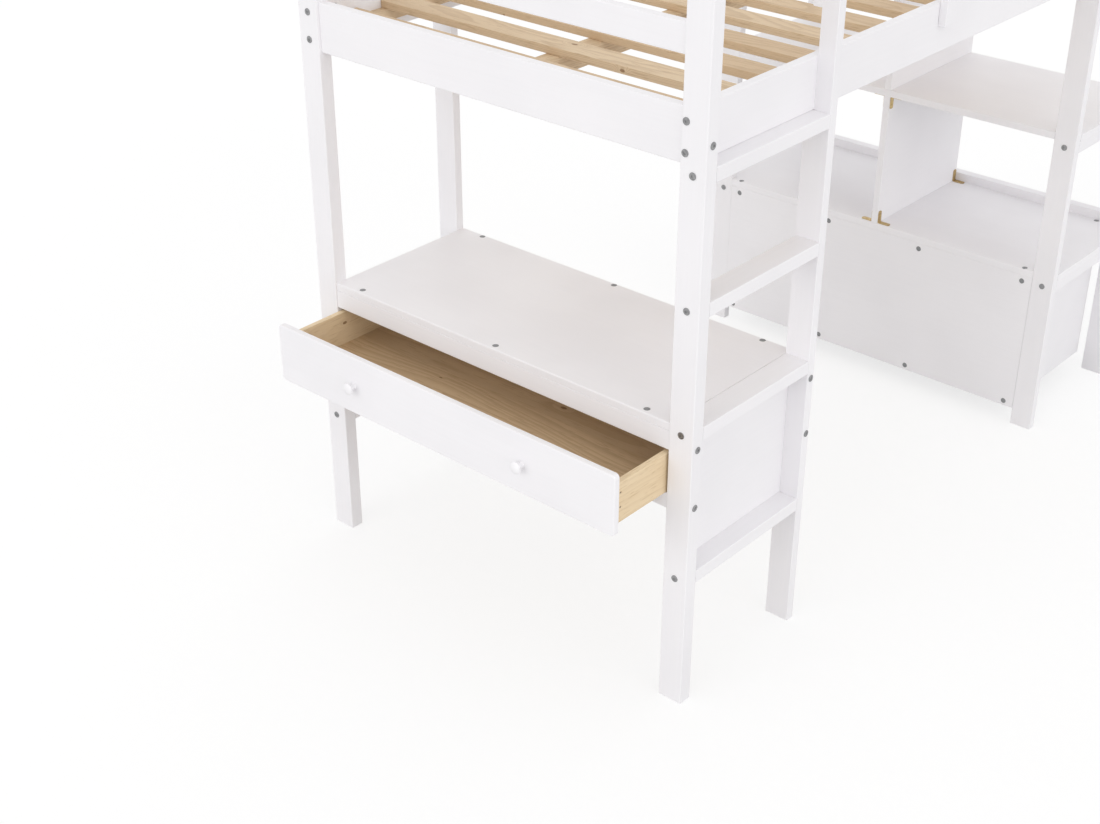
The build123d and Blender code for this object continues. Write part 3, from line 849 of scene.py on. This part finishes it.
def dress(name: str, material: bpy.types.Material) -> None:
    """Give a CAD node that stays its material.

    Args:
        name: Name of the CAD node.
        material: Its new material.
    """
    node = bpy.data.objects[name]
    node.data.materials.clear()
    node.data.materials.append(material)
    LOG.info("%s dressed with %s", name, material.name)


def long_run(low: np.ndarray, high: np.ndarray) -> Run:
    """Direction of the longest side of a box."""
    return (Run.ALONG_X, Run.ALONG_Y, Run.ALONG_Z)[int(np.argmax(high - low))]


@dataclass
class Joinery:
    """A sub-assembly of boards: painted bars that are rounded anew and CAD boards that stay."""

    finishes: Finishes
    corner: float = 2.0 * MM
    end: float = 0.5 * MM

    def bars(self, names: Sequence[str], corner: float | None = None, end: float | None = None) -> None:
        """Painted bars with rounded edges, each in the place of a CAD node.

        Args:
            names: The CAD nodes.
            corner: Radius of the long edges, where it differs.
            end: Radius of the end edges, where it differs.
        """
        for name in names:
            boxes = [box_of(points) for points in solids_of(name)]
            skins = [eased_bar(*box, corner or self.corner, end or self.end) for box in boxes]
            set_piece(f"{name}_eased", skins, self.finishes.paint[long_run(*boxes[0])], [name])

    def painted(self, runs: dict[str, Run]) -> None:
        """Dress CAD boards that keep their shape with paint, by the direction in which each runs."""
        for name, run in runs.items():
            dress(name, self.finishes.paint[run])


@dataclass
class BedFrame(Joinery):
    """Posts, rails, slats, ledgers and centre beam."""

    slat_corner: float = 1.6 * MM
    corner_post_end: float = 1.5 * MM
    inner_post_end: float = 1.2 * MM

    def build(self) -> None:
        """Build the posts, rails and slats."""
        corner_posts = [f"{place}_post_{side}" for place in ("end", "far") for side in ("left", "right")]
        self.bars(corner_posts, end=self.corner_post_end)
        self.bars(["shelf_post_left", "shelf_post_right", "inner_post_left"], end=self.inner_post_end)
        self.bars(["end_rail_near", "end_rail_far"])
        self.painted({"side_rail_left": Run.ALONG_Y, "side_rail_right": Run.ALONG_Y})
        self.painted({"ladder_post": Run.ALONG_Z})
        slats = [eased_bar(*box_of(points), self.slat_corner, self.end) for points in solids_of("bed_slats")]
        set_piece("slat_row", slats, self.finishes.slats, ["bed_slats"])
        for name in ("centre_beam", "slat_ledger_left", "slat_ledger_right"):
            dress(name, self.finishes.pine[Run.ALONG_Y])


@dataclass
class GuardRails(Joinery):
    """Guard boards round the bed and the uprights that hold them."""

    def build(self) -> None:
        """Build the guard boards and uprights."""
        self.bars([f"guard_boards_{place}" for place in ("near", "far", "left", "right")])
        self.bars(["guard_uprights"])


@dataclass
class Ladder(Joinery):
    """Rungs between the end post and the ladder post."""

    def build(self) -> None:
        """Build the rungs."""
        self.bars([f"ladder_rung_{number}" for number in (1, 2, 3, 4)] + ["desk_stretcher_left"])


@dataclass
class Desk(Joinery):
    """Desk top, aprons, lower rails, side panels and drawer runners."""

    seam: float = 1.0 * MM

    def build(self) -> None:
        """Build the desk."""
        self.painted({"desk_top": Run.ALONG_X})
        self.bars(["desk_apron_front", "desk_apron_back"], corner=self.seam)
        self.bars(["desk_lower_rail_front", "desk_lower_rail_back"])
        self.bars(["desk_side_panel_left", "desk_side_panel_right"], corner=self.seam)
        for side in ("left", "right"):
            dress(f"drawer_runner_{side}", self.finishes.pale_pine[Run.ALONG_Y])


@dataclass
class Drawer(Joinery):
    """Drawer front with its knobs, and the box of bare pine."""

    body: str = "drawer"
    front_corner: float = 9.0 * MM
    front_ease: float = 2.6 * MM
    back_ease: float = 0.6 * MM
    knob_foot: float = 8.5 * MM
    knob_foot_ease: float = 0.4 * MM
    knob_neck: float = 6.5 * MM
    knob_neck_rise: float = 3.0 * MM
    knob_curves: Span = (2.0 * MM, 3.0 * MM)
    knob_flare: float = 5.0 * MM
    knob_rim: float = 3.0 * MM
    knob_rim_eases: Span = (1.6 * MM, 1.4 * MM)
    knob_crown: float = 4.0 * MM
    crown_share: float = 0.85

    def front(self) -> None:
        """Rounded front board: the edge's profile carried round a rounded rectangle."""
        low, high = (np.array(corner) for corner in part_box("drawer_front"))
        wide, thick, tall = high - low
        corner = self.front_corner
        edge = [(0, 0, 0), (corner, 0, self.back_ease), (corner, thick, self.front_ease), (0, thick, 0)]
        origin = ((low[0] + high[0]) / 2, high[1], (low[2] + high[2]) / 2)
        half = (tall / 2 - corner, wide / 2 - corner)
        skin = carry(Profile.through(edge, steps=6), origin, (0, -1, 0), (0, 0, 1), half, parts=8)
        paint = self.finishes.paint[Run.ALONG_X]
        set_piece("drawer_front_rounded", [skin], paint, ["drawer_front"], self.body)

    def knobs(self) -> None:
        """Turned knobs: a foot, a neck, a flaring head and a crown that is part of a sphere."""
        skins = []
        for points in solids_of("drawer_knobs"):
            low, high = box_of(points)
            head, reach = (high[0] - low[0]) / 2, high[1] - low[1]
            rim = reach - self.knob_crown
            under = rim - self.knob_rim
            corners = [
                (0, 0, 0),
                (self.knob_foot, 0, self.knob_foot_ease),
                (self.knob_neck, self.knob_neck_rise, self.knob_curves[0]),
                (self.knob_neck, under - self.knob_flare, self.knob_curves[1]),
                (head, under, self.knob_rim_eases[0]),
                (head, rim, self.knob_rim_eases[1]),
                *dome(head, reach, self.knob_crown, self.crown_share),
            ]
            origin = ((low[0] + high[0]) / 2, high[1], (low[2] + high[2]) / 2)
            skins.append(carry(Profile.through(corners, steps=6), origin, (0, -1, 0), (1, 0, 0), parts=12))
        paint = self.finishes.paint[Run.ALONG_X]
        set_piece("turned_knobs", skins, paint, ["drawer_knobs"], self.body)

    def build(self) -> None:
        """Build the drawer."""
        self.front()
        self.knobs()
        pine = self.finishes.pale_pine
        for name in ("drawer_side_left", "drawer_side_right"):
            dress(name, pine[Run.ALONG_Y])
        dress("drawer_back", pine[Run.ALONG_X])
        dress("drawer_bottom", self.finishes.drawer_floor)
        dress("drawer_screws", self.finishes.screw)


@dataclass
class ShelfTower(Joinery):
    """Cabinet, middle shelf, dividers and stretchers of the far tower."""

    board_corner: float = 0.8 * MM
    board_end: float = 0.3 * MM

    def build(self) -> None:
        """Build the tower."""
        self.painted({name: Run.ALONG_X for name in ("cabinet_panel", "cabinet_top", "shelf_board")})
        sides = ("left", "right")
        self.bars([f"{level}_stretcher_{side}" for level in ("cabinet", "shelf") for side in sides])
        self.bars(["far_stretcher"])
        boards = ["cabinet_side_left", "cabinet_side_right", "cabinet_bottom", "cabinet_partitions"]
        boards += ["shelf_divider_lower", "shelf_divider_upper"]
        self.bars(boards, corner=self.board_corner, end=self.board_end)


@dataclass
class Hardware:
    """Bolts, barrel nuts, screw caps and angle brackets."""

    finishes: Finishes
    head_ease: float = 0.5 * MM
    shank_ease: float = 0.5 * MM
    socket: float = 2.4 * MM
    socket_depth: float = 1.1 * MM
    rim_width: float = 1.3 * MM
    rim_rise: float = 0.2 * MM
    rim_ease: float = 0.3 * MM
    cap_dome: float = 0.5 * MM
    cap_ease: float = 0.3 * MM
    cap_share: float = 0.9
    bracket_thick: float = 2.0 * MM
    bracket_bend: float = 3.0 * MM
    bracket_round: float = 5.0 * MM
    arc_points: int = 7
    screw_head: float = 3.3 * MM
    screw_rise: float = 1.3 * MM
    screw_brim: Span = (0.4 * MM, 0.3 * MM)
    screw_crown: Span = (0.55, 1.6 * MM)
    screw_place: float = 0.62

    def bolts(self) -> None:
        """Bolts with a flat round head that has a raised rim and a hexagonal socket."""
        skins = []
        for points in solids_of("frame_bolts"):
            low, high = box_of(points)
            size, middle = high - low, (low + high) / 2
            axis = int(np.argmax(size))
            away = np.linalg.norm(np.delete(points - middle, axis, axis=1), axis=1)
            radius = away.max()
            head = points[away > radius - ON_LEVEL][:, axis]
            outward = 1.0 if head.mean() > middle[axis] else -1.0
            thick = np.ptp(head)
            shank = away[away > OFF_AXIS].min()
            length = size[axis] - thick
            dish = thick - self.rim_rise
            bottom = thick - self.socket_depth
            origin = middle.copy()
            origin[axis] = (head * outward).max() * outward - outward * thick
            corners = [
                (0, -length, 0),
                (shank, -length, self.shank_ease),
                (shank, 0, 0),
                (radius, 0, 0),
                (radius, thick, self.head_ease),
                (radius - self.rim_width, dish, self.rim_ease),
                (self.socket, dish, 0),
                (self.socket, bottom, 0),
                (0, bottom, 0),
            ]
            axes = np.eye(3)
            profile = Profile.through(corners, steps=3, hexed=(6, 7))
            skins.append(carry(profile, origin, axes[axis] * outward, axes[(axis + 1) % 3], parts=9))
        set_piece("socket_bolts", skins, self.finishes.bolt, ["frame_bolts"])

    def caps(self) -> None:
        """Slightly domed round caps in the boards' recesses."""
        skins = []
        for points in solids_of("screw_caps"):
            low, high = box_of(points)
            size = high - low
            axis = int(np.argmin(size))
            outward = np.array([0, 0, 1.0]) if axis == 2 else np.array([0, -1.0, 0])
            radius, thick = size.max() / 2, size[axis]
            origin = (low + high) / 2 - outward * thick / 2
            corners = [
                (0, 0, 0),
                (radius, 0, 0),
                (radius, thick, self.cap_ease),
                *dome(radius, thick + self.cap_dome, self.cap_dome, self.cap_share),
            ]
            skins.append(carry(Profile.through(corners), origin, outward, (1, 0, 0), parts=8))
        set_piece("domed_caps", skins, self.finishes.cap, ["screw_caps"])

    def bracket(self, corner: Point, sign: float, up: float, arm: float, wide: float) -> Skin:
        """Bent strip with rounded ends: a rectangle carried along two arms and the bend between them.

        The strip's half width near an end is that of an arc of radius `bracket_round`, and its line is one
        arm, a quarter turn and the other arm, at half its thickness from the corner's faces. It is worked
        out for a divider's right side and a rising arm, and mirrored for the others.

        Args:
            corner: Inner corner of the divider and the board, at the strip's middle.
            sign: Side of the divider, -1 or 1.
            up: 1 where the arm rises from the board, -1 where it hangs.
            arm: Length of each arm.
            wide: Width of the strip.

        Returns:
            The closed surface.
        """
        half_t, bend, rounding = self.bracket_thick / 2, self.bracket_bend, self.bracket_round
        turn = np.linspace(0, np.pi / 2, self.arc_points)
        straight = arm - half_t - bend
        lead = np.append(rounding * (1 - np.cos(turn)), straight)
        first = np.column_stack([arm - lead, 0 * lead, 0 * lead + half_t])
        spin = np.column_stack([np.sin(turn), 0 * turn, np.cos(turn)])[1:-1]
        line = np.concatenate([first, np.array([1, 0, 1]) * (half_t + bend) - bend * spin, first[::-1, ::-1]])
        level = np.tile([0.0, 0.0, 1.0], (len(lead), 1))
        across = np.concatenate([level, spin, level[::-1, ::-1]])
        short = rounding - np.minimum(lead, rounding)
        narrow = wide / 2 - rounding + np.sqrt(np.maximum(rounding**2 - short**2, 0))
        widths = np.concatenate([narrow, np.full(len(spin), wide / 2), narrow[::-1]])

        sides = np.array([(1, 1), (1, -1), (-1, -1), (-1, 1)])
        sides = sides[::-1] if sign * up > 0 else sides
        out, left = np.repeat(sides, 2, axis=0).T[:, :, None]
        beside = np.stack([np.roll(sides, 1, axis=0), np.roll(sides, -1, axis=0)], axis=1).reshape(-1, 2)
        flat, edge = across[:, None] * out, np.array([0, 1, 0]) * left
        points = line[:, None] + flat * half_t + edge * widths[:, None, None]
        normals = np.where(beside[:, :1] == out, flat, edge)
        ring = np.ones((1, len(out), 1))
        points = np.concatenate([line[:1, None] * ring, points, line[-1:, None] * ring])
        normals = np.concatenate([ring * [1, 0, 0], normals, ring * [0, 0, 1]])
        mirror = np.array([sign, 1, up])
        return Skin(corner + points * mirror, normals * mirror)

    def brackets(self) -> None:
        """Angle brackets at the lower divider, each with a screw in either arm."""
        strips, screws = [], []
        rise, head, thick = self.screw_rise, self.screw_head, self.bracket_thick
        crown, curve = self.screw_crown
        corners = [(0, -rise, 0), (head, -rise, 0), (head, *self.screw_brim), (head * crown, rise, curve)]
        profile = Profile.through([*corners, (0, rise, 0)], steps=3)
        for points in solids_of("shelf_brackets"):
            low, high = box_of(points)
            arm, wide = high[0] - low[0], high[1] - low[1]
            sign = 1.0 if low[0] + high[0] > 0 else -1.0
            foot = points[points[:, 2] < low[2] + OFF_AXIS]
            up = 1.0 if np.ptp(foot[:, 0]) > arm / 2 else -1.0
            corner = (low[0] if sign > 0 else high[0], (low[1] + high[1]) / 2, low[2] if up > 0 else high[2])
            strips.append(self.bracket(corner, sign, up, arm, wide))
            along, mirror = arm * self.screw_place, np.array([sign, 1, up])
            for spot, axis, side in (
                ((along, 0, thick), (0, 0, up), (1, 0, 0)),
                ((thick, 0, along), (sign, 0, 0), (0, 1, 0)),
            ):
                screws.append(carry(profile, corner + mirror * spot, axis, side, parts=3))
        set_piece("bent_brackets", strips, self.finishes.zinc, ["shelf_brackets"])
        set_piece("bracket_screws", screws, self.finishes.zinc, [])

    def build(self) -> None:
        """Build the hardware."""
        self.bolts()
        self.caps()
        self.brackets()
        dress("barrel_nuts", self.finishes.bolt)


# ---- Camera, light and floor


def towards(azimuth: float, elevation: float) -> Vector:
    """Direction from the bed to a place at an azimuth and an elevation in degrees."""
    azimuth, elevation = math.radians(azimuth), math.radians(elevation)
    level = math.cos(elevation)
    return Vector((math.sin(azimuth) * level, -math.cos(azimuth) * level, math.sin(elevation)))


@dataclass(frozen=True)
class PhotoCamera:
    """Camera at the photograph's place."""

    place: Point = (2.1959, -3.1918, 2.3274)
    azimuth: float = 42.1886
    elevation: float = 30.4553
    roll: float = -0.3927
    lens: float = 55.88
    sensor: float = 36.0
    shift: Span = (0.0180, 0.0181)
    clip: Span = (0.05, 100.0)

    def build(self) -> None:
        """Add the camera."""
        data = bpy.data.cameras.new("photo_camera")
        data.sensor_fit = "HORIZONTAL"
        data.sensor_width = self.sensor
        data.lens = self.lens
        data.shift_x, data.shift_y = self.shift
        data.clip_start, data.clip_end = self.clip
        camera = add_object("photo_camera", data)
        azimuth, roll = math.radians(self.azimuth), math.radians(self.roll)
        back = towards(self.azimuth, self.elevation)
        level = Vector((math.cos(azimuth), math.sin(azimuth), 0.0))
        right = level * math.cos(roll) + back.cross(level) * math.sin(roll)
        turned = Matrix((right, back.cross(right), back)).transposed()
        camera.matrix_world = Matrix.Translation(self.place) @ turned.to_4x4()
        bpy.context.scene.camera = camera
        LOG.info("camera at %s", self.place)


@dataclass(frozen=True)
class Lamp:
    """Soft lamp far away, by where it stands, its strength and how wide it is."""

    name: str
    azimuth: float
    elevation: float
    strength: float
    width: float

    def build(self) -> None:
        """Add the lamp."""
        data = bpy.data.lights.new(self.name, "SUN")
        data.energy = self.strength
        data.angle = math.radians(self.width)
        turn = towards(self.azimuth, self.elevation).to_track_quat("Z", "Y")
        add_object(self.name, data).matrix_world = turn.to_matrix().to_4x4()


@dataclass(frozen=True)
class Studio:
    """White studio: a pale floor, a white surround and soft lamps."""

    ambient: float = 0.88
    floor_colour: Colour = (0.72, 0.72, 0.72)
    floor_lift: float = 0.72
    floor_half: float = 40.0
    floor_drop: float = 0.2 * MM
    lamps: tuple[Lamp, ...] = (
        Lamp("front_lamp", -5.0, 20.0, 0.68, 50.0),
        Lamp("ladder_side_lamp", 80.0, 14.0, 0.68, 50.0),
        Lamp("back_lamp", 205.0, 25.0, 0.2, 60.0),
    )

    def seen(self, graph: Graph) -> Socket:
        """1 where a ray from the camera, a reflection or a transmission looks, 0 elsewhere."""
        paths = graph.add("ShaderNodeLightPath").outputs
        either = graph.math("MAXIMUM", paths["Is Glossy Ray"], paths["Is Transmission Ray"])
        return graph.math("MAXIMUM", paths["Is Camera Ray"], either)

    def surround(self) -> None:
        """White world that lights the bed a little less brightly than it looks."""
        world = bpy.data.worlds.new("studio")
        graph = own_nodes(world)
        strength = graph.smooth(self.seen(graph), 0.0, 1.0, self.ambient, 1.0)
        light = graph.add("ShaderNodeBackground", {"Color": (1.0, 1.0, 1.0, 1.0), "Strength": strength})
        graph.add("ShaderNodeOutputWorld", {"Surface": light.outputs[0]})
        bpy.context.scene.world = world

    def floor(self) -> None:
        """Pale floor that looks white and keeps the bed's shadow."""
        corners = np.array([[-1, -1], [1, -1], [1, 1], [-1, 1]]) * self.floor_half
        mesh = bpy.data.meshes.new("floor")
        places = np.column_stack([corners, np.full(4, -self.floor_drop)])
        mesh.from_pydata(places.tolist(), [], [(0, 1, 2, 3)])
        material = bpy.data.materials.new("studio_floor")
        graph = own_nodes(material)
        seen = self.seen(graph)
        tint = graph.blend(seen, self.floor_colour, (1.0, 1.0, 1.0))
        matt = graph.add("ShaderNodeBsdfDiffuse", {"Color": tint})
        glow = graph.add("ShaderNodeEmission", {"Color": (1.0, 1.0, 1.0, 1.0), "Strength": 1.0})
        share = graph.math("MULTIPLY", seen, self.floor_lift)
        mixed = graph.add("ShaderNodeMixShader")
        for socket, value in zip(mixed.inputs, (share, matt.outputs[0], glow.outputs[0])):
            graph.feed(socket, value)
        graph.add("ShaderNodeOutputMaterial", {"Surface": mixed.outputs[0]})
        mesh.materials.append(material)
        add_object("floor", mesh)

    def build(self) -> None:
        """Set up the studio."""
        self.surround()
        self.floor()
        for lamp in self.lamps:
            lamp.build()
        bpy.context.scene.view_settings.view_transform = "Standard"
        LOG.info("studio with %d lamps", len(self.lamps))


def slat_rows() -> Span:
    """Where the slats' rows start, and their pitch, both along Y."""
    slats = solids_of("bed_slats")
    starts = sorted(float(points[:, 1].min()) for points in slats)
    pitch = (starts[-1] - starts[0]) / (len(starts) - 1)
    return starts[0] - (pitch - float(np.ptp(slats[0][:, 1]))) / 2, pitch


def main() -> None:
    """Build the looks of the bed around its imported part."""
    logging.basicConfig(level=logging.INFO, format="%(name)s: %(message)s")
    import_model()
    wood = WoodFigure()
    groups = SharedGroups(wood.build(), wood.build(rows=True), PAINT_SKIN.build(), METAL_SKIN.build())
    finishes = Finishes(groups, slat_rows())
    for assembly in (BedFrame, GuardRails, Ladder, Desk, Drawer, ShelfTower, Hardware):
        assembly(finishes).build()
        LOG.info("%s built", assembly.__name__)
    PhotoCamera().build()
    Studio().build()


if __name__ == "__main__":
    main()
